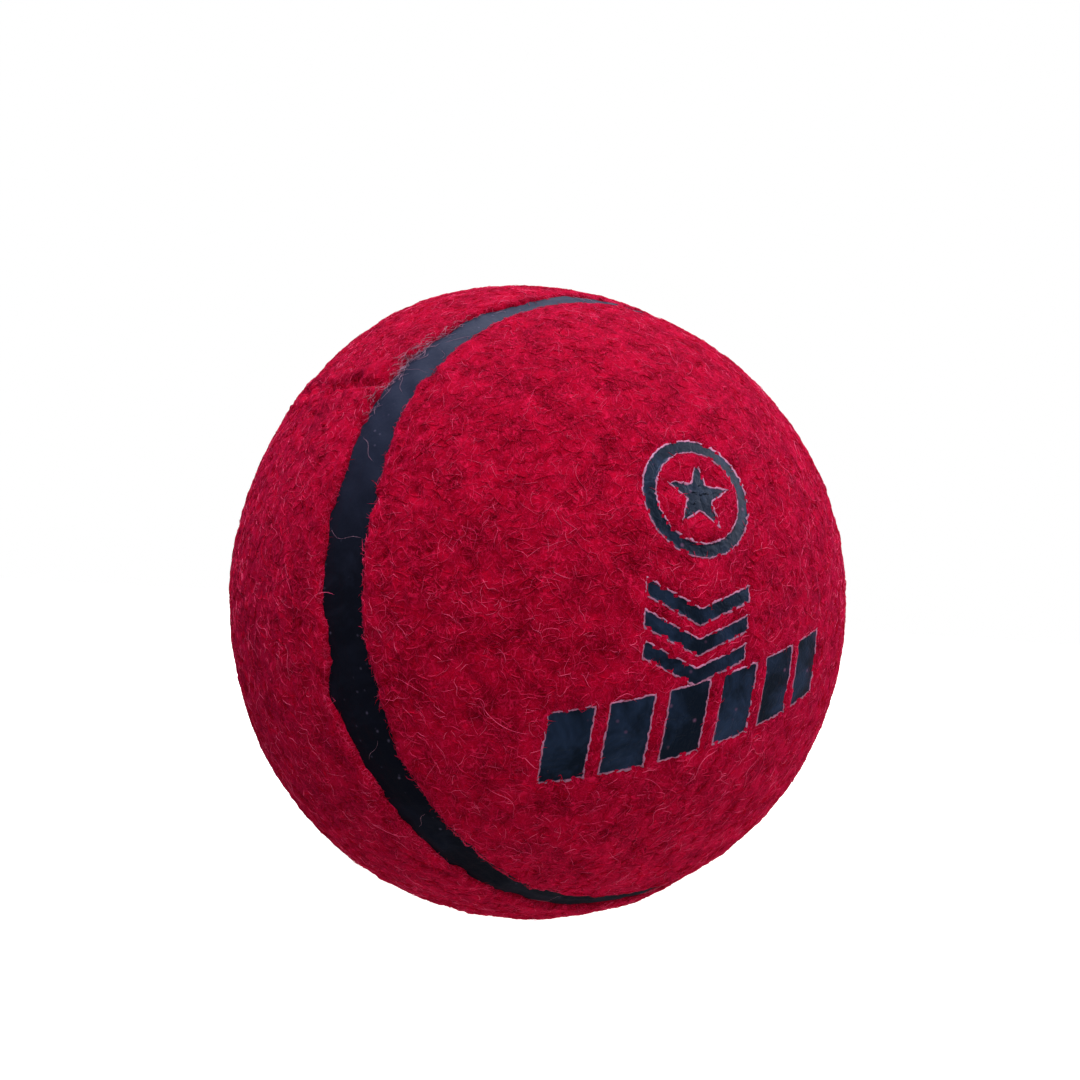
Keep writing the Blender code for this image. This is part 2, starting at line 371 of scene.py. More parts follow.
# Swellings and flats of the whole ball: direction, height in mm, angle over which it fades.
SWELLS = [
    ((0.0, 0.0, 1.0), -0.05, 0.7),
    ((0.0, 0.0, -1.0), 0.08, 0.7),
    ((0.08, -0.70, 0.70), 0.72, 0.36),
    ((-0.26, -0.95, 0.14), -0.30, 0.36),
    ((-0.25, -0.92, -0.29), -0.28, 0.30),
    ((0.16, -0.54, -0.82), 0.20, 0.42),
    ((0.71, -0.17, 0.68), -0.22, 0.40),
    ((1.0, 0.12, -0.05), -0.15, 0.35),
]


def line_distance(points, stops):
    """Least distance from each point to the straight pieces between the stops."""
    least = np.full(len(points), FAR)
    for start, end in zip(stops[:-1], stops[1:]):
        along = end - start
        share = np.clip((points - start) @ along / (along @ along), 0, 1)
        least = np.minimum(least, np.linalg.norm(points - start - share[:, None] * along, axis=1))
    return least


def swelling(p):
    """How far the pressed ball stands out from a true one in each direction, in metres."""
    total = np.zeros(len(p))
    for centre, height, spread in SWELLS:
        turned = np.arccos(np.clip(p @ unit(np.array(centre)), -1, 1))
        total += height * MM * np.exp(-((turned / spread) ** 2))
    return total


def relief(directions):
    """Height of the felt over the nominal ball in each direction, in metres. Clumps are three
    fields of falling size, pits are the peaks of two more, turned down, and the crease is a
    bell-shaped groove with a lower, wider lip beside it. Heights in the sum are in mm."""
    p = unit(directions)
    place = p * BALL
    clumps = 0.025 * waves(place, 2.8 * MM, 11) + 0.020 * waves(place, 1.3 * MM, 12)
    clumps += 0.016 * waves(place, 0.75 * MM, 13)
    pits = -0.12 * step(1.0, 2.1, waves(place, 1.6 * MM, 14))
    pits -= 0.08 * step(1.0, 2.0, waves(place, 0.9 * MM, 15))
    wander = place + 0.25 * MM * waves(place, 1.4 * MM, 16)[:, None]
    away = line_distance(wander, CREASE * BALL)
    crease = -0.42 * np.exp(-((away / (0.42 * MM)) ** 2))
    crease += 0.16 * np.exp(-(((away - 1.0 * MM) / (0.6 * MM)) ** 2))
    under = step(0.10 * MM, -0.12 * MM, print_distance(p))
    wool = (clumps + pits) * (1 - PRESSED_FLAT * under) + crease
    return swelling(p) + MM * wool - PRESS_DEPTH * under


# %% [markdown]
# ## The felt panels
#
# One panel is a dumbbell wrapped round the ball. Its long middle line lies in the plane Z = 0,
# so a grid of longitude along it and latitude across it covers the panel with no seam, and the
# edge is a known latitude at every longitude. The rows close up towards the two tips the way
# they do on a disc. The outermost rows turn down into the seam as the cut edge of the cloth.
# The edge itself is torn out of line by fields of three sizes, because a straight felt edge is
# the first thing that gives a model away. Panel B is the same grid given half a turn.

# %% Felt panels
EDGE_RADIUS = 0.7 * MM
EDGE_DROP = 0.26 * MM
# How far each row of the cut edge stands out into the seam, and how deep it lies, in mm.
SKIRT = [(0.06, 0.16), (0.06, 0.34), (0.0, 0.55), (-0.2, 0.75)]
ROW_DEGREES = 0.53
ACROSS_POINTS = 131

# Where an edge of the seam that passes the printed lobe leaves its line: angle round the arc in
# degrees, how far the felt reaches into the seam in mm, and the length over which it does.
WANDER_A = [
    (0, 0.30, 34), (27, 0.80, 4.5), (60, 0.30, 3.0), (-1, 0.35, 2.0), (-32, 0.25, 2.5),
    (-62, 0.75, 3.5), (-21, -0.35, 3.0), (12, -0.35, 3.0), (45, 0.45, 2.5),
]
WANDER_B = [
    (0, -0.42, 34), (57, 1.70, 3.4), (42, 0.55, 3.5), (24, -0.45, 3.5),
    (-21, -1.25, 1.9), (-28, -0.35, 2.5), (-15, 0.50, 1.8), (55.5, 0.45, 1.5),
]
# The fields that tear each panel's edge start from these numbers.
SEED_A, SEED_B = 30, 40


def arc_point(degrees):
    """The point of the seam line at that angle round the +X lobe's tip."""
    return rim_point(np.array([math.radians(degrees)]))[0]


def edge_reach(place, bumps, seed):
    """How far the felt's edge reaches into the seam near each place, in metres."""
    reach = 0.12 * waves(place, 7 * MM, seed) + 0.075 * waves(place, 1.7 * MM, seed + 1)
    reach += 0.045 * waves(place, 0.75 * MM, seed + 2)
    for angle, amount, spread in bumps:
        away = np.linalg.norm(place - arc_point(angle) * BALL, axis=1)
        reach += amount * np.exp(-((away / (spread * MM)) ** 2))
    return reach * MM


def edge_depth(points):
    """How far each direction is inside the torn edge of its felt panel, in metres, negative
    over the bare seam, with the direction that leads further in."""
    p = unit(points)
    offset, grows = seam_offset(p)
    on_a = offset > 0
    reach = np.where(on_a, edge_reach(p * BALL, WANDER_A, SEED_A), edge_reach(p * BALL, WANDER_B, SEED_B))
    return np.abs(offset) - HALF_SEAM + reach, grows * np.where(on_a, 1.0, -1.0)[:, None]


def felt_radius(points):
    """Distance of the top of the felt from the ball's centre, rolled down at its edges."""
    depth, _ = edge_depth(points)
    rise = np.sqrt(1 - (1 - np.clip(depth / EDGE_RADIUS, 0, 1)) ** 2)
    return BALL + relief(points) - EDGE_DROP * (1 - rise)


def spine_angles(step_angle):
    """Longitudes along the panel: even over the middle, then closing up like a sine so that
    the rows of the round tip stay an even distance apart along its rim."""
    middle = math.pi / 2 + LEAN
    tip = RHO - HALF_SEAM / BALL
    even = np.linspace(-middle, middle, int(2 * middle / step_angle))
    turn = np.arange(step_angle / tip, math.radians(87), step_angle / tip)
    end = middle + tip * np.sin(turn)
    return np.concatenate([-end[::-1], even, end])


def edge_latitude(longitude):
    """Latitude of the panel's edge: on the waist the rim of panel B's lobe circle, which solves
    a cos + b sin = c, and on the lobes the rim of the panel's own circle."""
    half = HALF_SEAM / BALL
    a, b = math.sin(LEAN) * np.cos(longitude), math.cos(LEAN)
    waist = np.arctan2(b, a) - np.arccos(np.clip(math.cos(RHO + half) / np.hypot(a, b), -1, 1))
    off_centre = np.abs(longitude) - math.pi / 2 - LEAN
    lobe = np.arccos(np.clip(math.cos(RHO - half) / np.cos(off_centre), -1, 1))
    return np.where(np.abs(longitude) < math.pi / 2, waist, lobe)


def felt_panel(name, node, label, material):
    """One felt panel with its rolled, ragged edge, as an open sheet. Each point's direction is
    (cos lat sin lon, cos lat cos lon, sin lat), moved along the ball by the edge's reach, and
    its radius is the ball's plus the relief, less the roll of the edge. The outermost rows all
    keep the edge's direction and step down by the skirt."""
    longitude = spine_angles(math.radians(ROW_DEGREES))
    across = np.linspace(1, -1, ACROSS_POINTS)
    skirts = len(SKIRT)
    longitude = np.pad(longitude, skirts, mode="edge")
    across = np.pad(across, skirts, mode="edge")
    latitude = edge_latitude(longitude)[:, None] * across[None]
    east = np.cos(latitude) * np.sin(longitude)[:, None]
    north = np.cos(latitude) * np.cos(longitude)[:, None]
    p = np.stack([east, north, np.sin(latitude)], axis=2).reshape(-1, 3)
    offset, inward = seam_offset(p)
    depth = np.maximum(offset - HALF_SEAM, 0)
    if label == "b":
        turned, bumps, seed = swap(p), WANDER_B, SEED_B
    else:
        turned, bumps, seed = p, WANDER_A, SEED_A
    reach = edge_reach(turned * BALL, bumps, seed) * np.exp(-((depth / (1.6 * MM)) ** 2))
    rows, columns = len(longitude), len(across)
    row, column = np.divmod(np.arange(rows * columns), columns)
    past_rows = np.maximum(skirts - row, row - rows + skirts + 1)
    past_columns = np.maximum(skirts - column, column - columns + skirts + 1)
    beyond = np.maximum(0, np.maximum(past_rows, past_columns))
    skirt = np.array([(0.0, 0.0), *SKIRT])
    reach = reach + skirt[beyond, 0] * MM
    p = unit(p - inward * (reach / BALL)[:, None])
    if label == "b":
        p = swap(p)
    rise = np.sqrt(1 - (1 - np.clip(depth / EDGE_RADIUS, 0, 1)) ** 2)
    radius = BALL + relief(p) - EDGE_DROP * (1 - rise) - skirt[beyond, 1] * MM
    piece = make_piece(name, p * radius[:, None], grid_faces(rows, columns), material)
    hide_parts(node)
    return piece

# %% [markdown]
# ## Finishes
#
# Each finish is a Principled material. What several of them share is built once as a node
# group: `wool_grain` gives a mottled shade with thin pale curls, for anything made of the felt
# wool, and `lint` gives a sparse mask of dust specks, for the rubber and the film that pick
# dust up. The groups read Object coordinates, which suit a piece that never bends. They hand
# out only masks and heights: colours and bumps are made in each material with its own values.


# %% Node groups
def node_group(name, inputs, outputs):
    """An empty shader group with a vector input, the given number inputs, and its outputs."""
    group = bpy.data.node_groups.new(name, "ShaderNodeTree")
    group.interface.new_socket("Vector", in_out="INPUT", socket_type="NodeSocketVector")
    for label, value in inputs.items():
        socket = group.interface.new_socket(label, in_out="INPUT", socket_type="NodeSocketFloat")
        socket.default_value = value
    for label in outputs:
        group.interface.new_socket(label, in_out="OUTPUT", socket_type="NodeSocketFloat")
    return group, group.nodes.new("NodeGroupInput"), group.nodes.new("NodeGroupOutput")


def math_node(tree, operation, first, second=None, clamp=False):
    """A Math node whose inputs are sockets or numbers. Returns its output."""
    node = tree.nodes.new("ShaderNodeMath")
    node.operation = operation
    node.use_clamp = clamp
    for socket, value in zip(node.inputs, (first, second)):
        if isinstance(value, bpy.types.NodeSocket):
            tree.links.new(value, socket)
        elif value is not None:
            socket.default_value = value
    return node.outputs[0]


def noise_node(tree, vector, scale, detail=2.0, roughness=0.5, distortion=0.0):
    """A Noise texture; scale is a number, in turns to the metre, or a socket."""
    node = tree.nodes.new("ShaderNodeTexNoise")
    tree.links.new(vector, node.inputs["Vector"])
    if isinstance(scale, bpy.types.NodeSocket):
        tree.links.new(scale, node.inputs["Scale"])
    else:
        node.inputs["Scale"].default_value = scale
    node.inputs["Detail"].default_value = detail
    node.inputs["Roughness"].default_value = roughness
    node.inputs["Distortion"].default_value = distortion
    return node.outputs["Fac"]


def wool_grain_group():
    """Shade: broad mottling plus fine grain. Curls: thin lines where a distorted noise passes
    its middle value, which look like single fibres. Height: grain and curls together."""
    scales = {"Mottle": 500.0, "Grain": 2600.0, "Curl": 1100.0}
    group, given, out = node_group("wool_grain", scales, ["Shade", "Curls", "Height"])
    vector = given.outputs["Vector"]
    mottle = noise_node(group, vector, given.outputs["Mottle"], 3.0, 0.6)
    grain = noise_node(group, vector, given.outputs["Grain"], 3.0, 0.65, 0.6)
    curl_noise = noise_node(group, vector, given.outputs["Curl"], 1.0, 0.5, 2.2)
    off_middle = math_node(group, "ABSOLUTE", math_node(group, "SUBTRACT", curl_noise, 0.5))
    curls = math_node(group, "SUBTRACT", 1.0, math_node(group, "MULTIPLY", off_middle, 26.0), clamp=True)
    finer = math_node(group, "MULTIPLY", given.outputs["Curl"], 1.9)
    second_noise = noise_node(group, vector, finer, 1.0, 0.5, 2.6)
    second_off = math_node(group, "ABSOLUTE", math_node(group, "SUBTRACT", second_noise, 0.46))
    second = math_node(group, "SUBTRACT", 1.0, math_node(group, "MULTIPLY", second_off, 20.0), clamp=True)
    both = math_node(group, "MAXIMUM", curls, math_node(group, "MULTIPLY", second, 0.7))
    wide = math_node(group, "MULTIPLY", math_node(group, "SUBTRACT", mottle, 0.5), 2.6)
    fine = math_node(group, "MULTIPLY", math_node(group, "SUBTRACT", grain, 0.5), 1.4)
    shade = math_node(group, "ADD", math_node(group, "ADD", wide, fine), 0.58, clamp=True)
    height = math_node(group, "ADD", math_node(group, "MULTIPLY", both, 0.5), grain)
    group.links.new(shade, out.inputs["Shade"])
    group.links.new(both, out.inputs["Curls"])
    group.links.new(height, out.inputs["Height"])
    return group


def lint_group():
    """Specks: small round dots, each at the heart of a Voronoi cell whose own random value
    lets only some through. Smear: broad patches where dust has rubbed on."""
    group, given, out = node_group("lint", {"Size": 1500.0, "Share": 0.2}, ["Specks", "Smear"])
    cells = group.nodes.new("ShaderNodeTexVoronoi")
    group.links.new(given.outputs["Vector"], cells.inputs["Vector"])
    group.links.new(given.outputs["Size"], cells.inputs["Scale"])
    from_middle = math_node(group, "MULTIPLY", cells.outputs["Distance"], 4.0)
    dot = math_node(group, "SUBTRACT", 1.0, from_middle, clamp=True)
    split = group.nodes.new("ShaderNodeSeparateColor")
    group.links.new(cells.outputs["Color"], split.inputs["Color"])
    chosen = math_node(group, "LESS_THAN", split.outputs["Red"], given.outputs["Share"])
    group.links.new(math_node(group, "MULTIPLY", dot, chosen), out.inputs["Specks"])
    patch = noise_node(group, given.outputs["Vector"], 260.0, 4.0, 0.7, 0.8)
    smear = math_node(group, "MULTIPLY", math_node(group, "SUBTRACT", patch, 0.5), 5.0, clamp=True)
    group.links.new(smear, out.inputs["Smear"])
    return group


WOOL = wool_grain_group()
LINT = lint_group()
print("groups:", WOOL.name, LINT.name)


# %% Material helpers
def new_material(name, roughness, **constants):
    """A Principled material with Object coordinates. Constants are set on its own sockets."""
    material = bpy.data.materials.new(name)
    material.use_nodes = True
    tree = material.node_tree
    shader = tree.nodes["Principled BSDF"]
    shader.inputs["Roughness"].default_value = roughness
    for label, value in constants.items():
        shader.inputs[label.replace("_", " ")].default_value = value
    place = tree.nodes.new("ShaderNodeTexCoord").outputs["Object"]
    return material, tree, shader, place


def placed_group(tree, group, place, **values):
    """The group in a material, reading Object coordinates, with its own values."""
    node = tree.nodes.new("ShaderNodeGroup")
    node.node_tree = group
    tree.links.new(place, node.inputs["Vector"])
    for label, value in values.items():
        node.inputs[label].default_value = value
    return node.outputs


def mix_colour(tree, factor, first, second):
    """A colour mix of two colours or sockets by a factor. Returns its output."""
    node = tree.nodes.new("ShaderNodeMix")
    node.data_type = "RGBA"
    for socket, value in ((node.inputs[0], factor), (node.inputs[6], first), (node.inputs[7], second)):
        if isinstance(value, bpy.types.NodeSocket):
            tree.links.new(value, socket)
        elif isinstance(value, tuple):
            socket.default_value = (*value, 1.0)
        else:
            socket.default_value = value
    return node.outputs[2]


def add_bump(tree, shader, height, distance, strength=1.0):
    """A Bump node of that depth in metres into the shader's Normal."""
    bump = tree.nodes.new("ShaderNodeBump")
    bump.inputs["Distance"].default_value = distance
    bump.inputs["Strength"].default_value = strength
    tree.links.new(height, bump.inputs["Height"])
    tree.links.new(bump.outputs["Normal"], shader.inputs["Normal"])


def felt_material(name, dark, middle, pale, curl_share):
    """Wool: dark in the pits, middle over most of it, pale on the curls. Sheen scatters light
    at the limb, as a brushed nap does."""
    material, tree, shader, place = new_material(name, 0.95, Sheen_Weight=0.25, Sheen_Roughness=0.5)
    shader.inputs["Sheen Tint"].default_value = (1.0, 0.03, 0.22, 1.0)
    shader.inputs["Specular IOR Level"].default_value = 0.02
    grain = placed_group(tree, WOOL, place)
    body = mix_colour(tree, grain["Shade"], dark, middle)
    share = math_node(tree, "MULTIPLY", grain["Curls"], curl_share)
    tree.links.new(mix_colour(tree, share, body, pale), shader.inputs["Base Color"])
    add_bump(tree, shader, grain["Height"], 0.06 * MM, 0.8)
    return material


def fibre_material(name, root, tip):
    """A hair of wool: its colour drifts between two shades from place to place."""
    material, tree, shader, place = new_material(name, 0.8)
    shader.inputs["Specular IOR Level"].default_value = 0.04
    grain = placed_group(tree, WOOL, place)
    tree.links.new(mix_colour(tree, grain["Shade"], root, tip), shader.inputs["Base Color"])
    return material


# Heights between which the seam rubber's colour fades into a painted reflection of the bluish light above.
TOP_REFLECTION_FROM, TOP_REFLECTION_FULL = -0.05 * BALL, 0.35 * BALL


def rubber_material(name, dark, worn, roughness, ridge):
    """Moulded rubber: near black, with paler scuffs, specks of lint and a grained surface.
    Towards the top of the ball it turns paler and bluish: a painted reflection of the light above."""
    material, tree, shader, place = new_material(name, roughness)
    shader.inputs["Specular IOR Level"].default_value = 0.13
    shader.inputs["Specular Tint"].default_value = (0.50, 0.60, 1.0, 1.0)
    dust = placed_group(tree, LINT, place, Size=1900.0, Share=0.17)
    scuffed = mix_colour(tree, math_node(tree, "MULTIPLY", dust["Smear"], 0.55), dark, worn)
    height = tree.nodes.new("ShaderNodeSeparateXYZ")
    tree.links.new(place, height.inputs[0])
    # Painted reflection: from a little below the centre to near the top of the ball, the rubber's colour
    # turns paler and bluish.
    over_start = math_node(tree, "SUBTRACT", height.outputs["Z"], TOP_REFLECTION_FROM)
    painted_reflection = math_node(tree, "DIVIDE", over_start, TOP_REFLECTION_FULL - TOP_REFLECTION_FROM, clamp=True)
    overlaid = mix_colour(tree, math_node(tree, "MULTIPLY", painted_reflection, 0.8), scuffed, (0.022, 0.029, 0.062))
    specks = math_node(tree, "MULTIPLY", dust["Specks"], 0.75)
    speckled = mix_colour(tree, specks, overlaid, (0.11, 0.10, 0.17))
    tree.links.new(speckled, shader.inputs["Base Color"])
    grain = noise_node(tree, place, 2600.0, 4.0, 0.7)
    rough = math_node(tree, "ADD", math_node(tree, "MULTIPLY", grain, 0.25), roughness - 0.12, clamp=True)
    tree.links.new(rough, shader.inputs["Roughness"])
    add_bump(tree, shader, math_node(tree, "ADD", grain, dust["Specks"]), ridge, 0.7)
    return material


def film_material():
    """Pressed print film: dark navy with broad pale bloom, glossy where it lies flat."""
    material, tree, shader, place = new_material("ink_film_surface", 0.38)
    shader.inputs["Specular IOR Level"].default_value = 0.32
    shader.inputs["Specular Tint"].default_value = (0.45, 0.62, 1.0, 1.0)
    dust = placed_group(tree, LINT, place, Size=1400.0, Share=0.16)
    bloom = noise_node(tree, place, 260.0, 4.0, 0.65, 0.6)
    share = math_node(tree, "MULTIPLY", math_node(tree, "SUBTRACT", bloom, 0.42), 4.0, clamp=True)
    base = mix_colour(tree, share, (0.0035, 0.0075, 0.016), (0.020, 0.038, 0.085))
    overlaid = mix_colour(tree, math_node(tree, "MULTIPLY", dust["Specks"], 0.6), base, (0.28, 0.12, 0.24))
    rim = tree.nodes.new("ShaderNodeAttribute")
    rim.attribute_name = "rim"
    torn = math_node(tree, "MULTIPLY", noise_node(tree, place, 3500.0, 2.0), 0.13 * MM)
    inside = math_node(tree, "SUBTRACT", rim.outputs["Fac"], torn)
    frayed = math_node(tree, "SUBTRACT", 1.0, math_node(tree, "DIVIDE", inside, 0.035 * MM), clamp=True)
    tree.links.new(mix_colour(tree, frayed, overlaid, (0.50, 0.20, 0.34)), shader.inputs["Base Color"])
    wrinkle = noise_node(tree, place, 1500.0, 3.0, 0.6, 0.8)
    rough = math_node(tree, "ADD", math_node(tree, "MULTIPLY", wrinkle, 0.35), 0.18, clamp=True)
    tree.links.new(rough, shader.inputs["Roughness"])
    add_bump(tree, shader, wrinkle, 0.09 * MM, 0.8)
    return material


felt_red = felt_material(
    "felt_surface",
    dark=(0.15, 0.0003, 0.005),
    middle=(0.46, 0.0010, 0.022),
    pale=(0.70, 0.010, 0.070),
    curl_share=0.8,
)
seam_black = rubber_material(
    "seam_rubber_surface",
    dark=(0.0044, 0.0052, 0.0105),
    worn=(0.012, 0.015, 0.030),
    roughness=0.62,
    ridge=0.04 * MM,
)
film_navy = film_material()
print("felt, seam and film materials made")

# %% [markdown]
# ## The seam rubber
#
# A curve with a bevel would twist as it runs round the ball, and a swept primitive would cut
# through the felt. The strip is instead a closed cross-section carried along the seam line:
# at each station the section stands on the ball's own radius, so it never twists. Its top is
# slightly crowned, marked with fine lengthwise ridges, and it runs a little under both felt
# edges so that their torn outline decides how wide the seam looks.

# %% Seam rubber
STRIP_HALF = 3.0 * MM
SEAM_SINK = 0.30 * MM
STRIP_DEPTH = 1.9 * MM
STATIONS = 220
TOP_POINTS = 23


def seam_strip():
    """The closed section carried along the closed seam line: side is point x direction of
    travel, and each point of the section stands at its own side shift and radius."""
    line = seam_path(STATIONS)
    travel = unit(np.roll(line, -1, axis=0) - np.roll(line, 1, axis=0))
    side = np.cross(line, travel)
    top = BALL - SEAM_SINK
    share = np.linspace(-1, 1, TOP_POINTS)
    crown = top - 0.10 * MM * share**2
    under = BALL - STRIP_DEPTH
    shift = STRIP_HALF * np.concatenate([share, [1.03, 0.9, 0, -0.9, -1.03]])
    radius = np.concatenate([crown, [top - 0.5 * MM, under, under, under, top - 0.5 * MM]])
    p = unit(line[:, None] + side[:, None] * (shift / BALL)[None, :, None]).reshape(-1, 3)
    place = p * BALL
    rows = np.tile(radius, len(line))
    width = np.tile(shift, len(line)) / STRIP_HALF
    on_top = np.tile(np.arange(len(shift)) < len(share), len(line))
    ridges = 0.018 * np.sin(width * 19 + 0.8 * waves(place, 9 * MM, 61))
    ridges += 0.035 * waves(place, 2.2 * MM, 62)
    ridges += 0.018 * waves(place, 0.8 * MM, 63)
    rows = rows + np.where(on_top, ridges, 0) * MM + swelling(p)
    faces = grid_faces(len(line), len(shift), round_rows=True, round_columns=True)
    strip = make_piece("seam_rubber_strip", p * rows[:, None], faces, seam_black)
    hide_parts("seam_rubber")


seam_strip()

# %% [markdown]
# ## Felt
#
# Both panels come from the same function. Each is a sheet of cloth stretched only a little
# over the core, so the flat dumbbell it was cut from has the panel's own area on the ball.

# %% Make the felt
felt_a = felt_panel("felt_nap_a_surface", "felt_nap_a", "a", felt_red)
felt_b = felt_panel("felt_nap_b_surface", "felt_nap_b", "b", felt_red)

# %% [markdown]
# ## The film print
#
# Each film shape is a small surface of two parameters: across and up for a block, along the
# arms for a chevron, round and outward for the ring and the star. The flat shape is shaken by
# a fine field to fray its edge, thrown on the ball, laid on the dented felt's relief and given
# its thickness with Solidify.

# %% Film pieces
FILM_THICKNESS = 0.12 * MM
FILM_LIFT = 0.05 * MM


def close_centre(piece):
    """Merge the points that lie on one spot, so that rays from a centre meet in one point."""
    shape = bmesh.new()
    shape.from_mesh(piece.data)
    bmesh.ops.remove_doubles(shape, verts=shape.verts, dist=0.001 * MM)
    shape.to_mesh(piece.data)
    shape.free()


def shake(flat, size, seed):
    """Two random fields of that size at flat points, as a sideways and an upward shift."""
    place = np.pad(flat, ((0, 0), (0, 1)))
    return np.stack([waves(place, size, seed), waves(place, size, seed + 1)], axis=1)


def film_piece(node, axes, flat, rows, columns, round_rows=False):
    """A film surface from flat points in a plate's plane. Its rim attribute is each point's
    distance in metres from the shape's outline, which the film material turns pale."""
    if node == "badge_ring":
        reach = np.linalg.norm(flat, axis=1)
        rim = np.minimum(reach - RING_IN, RING_OUT - reach)
    else:
        rim = -outline_distance(flat, SHAPES[node][1])
    flat = flat + 0.024 * MM * shake(flat, 0.42 * MM, 70) + 0.020 * MM * shake(flat, 0.22 * MM, 74)
    p = unit(np.pad(flat, ((0, 0), (0, 1)), constant_values=BALL) @ axes)
    radius = BALL + 0.6 * relief(p) + 0.4 * (swelling(p) - PRESS_DEPTH) + FILM_LIFT
    faces = grid_faces(rows, columns, round_rows)
    piece = make_piece(f"{node}_film", p * radius[:, None], faces, film_navy)
    piece.data.attributes.new("rim", "FLOAT", "POINT").data.foreach_set("value", rim.astype(np.float32))
    wall = piece.modifiers.new("thickness", "SOLIDIFY")
    wall.thickness = FILM_THICKNESS
    wall.offset = -1.0
    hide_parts(node)
    return piece


def block_film(node):
    """Corners mixed in two directions: (1-u)(1-v), u(1-v), uv and (1-u)v times the corners."""
    axes, corners = SHAPES[node]
    rows, columns = 36, 26
    u, v = np.meshgrid(np.linspace(0, 1, columns), np.linspace(1, 0, rows))
    u, v = u.ravel()[:, None], v.ravel()[:, None]
    foot = corners[0] * (1 - u) + corners[1] * u
    head = corners[3] * (1 - u) + corners[2] * u
    film_piece(node, axes, foot * (1 - v) + head * v, rows, columns)


def chevron_film(node):
    """x runs from end to end, and the band hangs from a roof line that falls towards x = 0."""
    axes, corners = SHAPES[node]
    rows, columns = 10, 61
    left, right = corners[0, 0], corners[4, 0]
    x, v = np.meshgrid(np.linspace(left, right, columns), np.linspace(1, 0, rows))
    middle, half = (left + right) / 2, (right - left) / 2
    roof = corners[5, 1] + (corners[0, 1] - corners[5, 1]) * np.abs(x - middle) / half
    band = corners[0, 1] - corners[1, 1]
    flat = np.stack([x.ravel(), (roof - band * (1 - v)).ravel()], axis=1)
    film_piece(node, axes, flat, rows, columns)


def ring_film():
    """Round the middle, from the inner to the outer radius: reach times (cos, sin) of turn."""
    rows, columns = 180, 9
    turn = np.linspace(0, -2 * np.pi, rows, endpoint=False)[:, None]
    reach = np.linspace(RING_IN, RING_OUT, columns)[None]
    flat = np.stack([(reach * np.cos(turn)).ravel(), (reach * np.sin(turn)).ravel()], axis=1)
    film_piece("badge_ring", ring_axes, flat, rows, columns, round_rows=True)


def star_film(node):
    """Out from the centre to the straight-sided outline, round the star."""
    axes, corners = SHAPES[node]
    rows, columns = 120, 14
    closed = np.vstack([corners, corners[:1]])
    along = np.linspace(0, len(corners), rows + 1)[:-1]
    stops = np.arange(len(closed))
    edge = np.stack([np.interp(along, stops, closed[:, i]) for i in (0, 1)], axis=1)[::-1]
    share = np.linspace(0, 1, columns)
    flat = (edge[:, None] * share[None, :, None]).reshape(-1, 2)
    close_centre(film_piece(node, axes, flat, rows, columns, round_rows=True))


for node in BLOCKS:
    block_film(node)
for node in CHEVRONS:
    chevron_film(node)
ring_film()
star_film("badge_star")

# %% [markdown]
# ## Loose hairs
#
# The look of a tennis-style felt comes from single hairs that wander over the matted wool.
# Blender's hair could grow them, but a hair system doesn't export, and curves would be too
# heavy at this number. Each hair is therefore a closed tube with three sides and a point at
# each end. A whole batch is one array operation: a heading that bends and wobbles along the
# hair is summed into a path in the plane that touches the ball, and the path is thrown on the
# ball and laid on the relief. A batch is one piece, with one tint of wool.


# %% Hair builder
def tube_faces(count, rings):
    """Triangles of count tubes, each with a start point, rings of three points and an end."""
    ring = np.arange(rings * 3).reshape(rings, 3) + 1
    after = np.roll(ring, -1, axis=1)
    start = np.stack([np.zeros(3, int), after[0], ring[0]], axis=1)
    first = np.stack([ring[:-1].ravel(), after[:-1].ravel(), after[1:].ravel()], axis=1)
    second = np.stack([ring[:-1].ravel(), after[1:].ravel(), ring[1:].ravel()], axis=1)
    end = np.stack([ring[-1], after[-1], np.full(3, rings * 3 + 1)], axis=1)
    one = np.concatenate([start, first, second, end])
    return (one[None] + np.arange(count)[:, None, None] * (rings * 3 + 2)).reshape(-1, 3)


def tube_points(paths, thickness):
    """Points of the tubes along paths (hairs x stops x 3): the inner stops carry a triangle
    across the path, thickest at the middle, and the end stops are the tips."""
    along = unit(np.gradient(paths, axis=1))[:, 1:-1]
    side = unit(np.cross(paths[:, 1:-1], along))
    up = np.cross(along, side)
    share = np.linspace(0, 1, paths.shape[1])[1:-1]
    girth = (thickness[:, None] * (0.55 + 0.45 * np.sin(np.pi * share)))[..., None]
    turns = np.pi / 2 + np.arange(3) * 2 * np.pi / 3
    rings = [paths[:, 1:-1] + girth * (np.sin(turn) * up - np.cos(turn) * side) for turn in turns]
    body = np.stack(rings, axis=2).reshape(len(paths), -1, 3)
    return np.concatenate([paths[:, :1], body, paths[:, -1:]], axis=1).reshape(-1, 3)


def hair_paths(centres, facing, length, stops, curl, random):
    """Directions along each hair (hairs x stops x 3). The hair lies along facing at its middle,
    and curl is the spread of its bend in radians. The bend and a wobble turn the heading, and
    the path is the running sum of the heading's steps in the plane that touches the ball."""
    share = np.linspace(-0.5, 0.5, stops)[None]
    count = len(centres)
    bend, wobble = random.normal(0, curl, count)[:, None], random.normal(0, 0.45 * curl, count)[:, None]
    phase = random.uniform(0, 2 * np.pi, count)[:, None]
    angle = bend * share + wobble * np.sin(2 * np.pi * 1.3 * share + phase)
    pace = length[:, None] / (stops - 1)
    x, y = np.cumsum(np.cos(angle), axis=1) * pace, np.cumsum(np.sin(angle), axis=1) * pace
    x, y = x - x.mean(1, keepdims=True), y - y.mean(1, keepdims=True)
    across = np.cross(centres, facing)
    return unit(centres[:, None] + (x[..., None] * facing[:, None] + y[..., None] * across[:, None]) / BALL)


def any_way(centres, random):
    """A random direction along the ball's surface at each centre."""
    return unit(np.cross(centres, random.normal(size=centres.shape)))


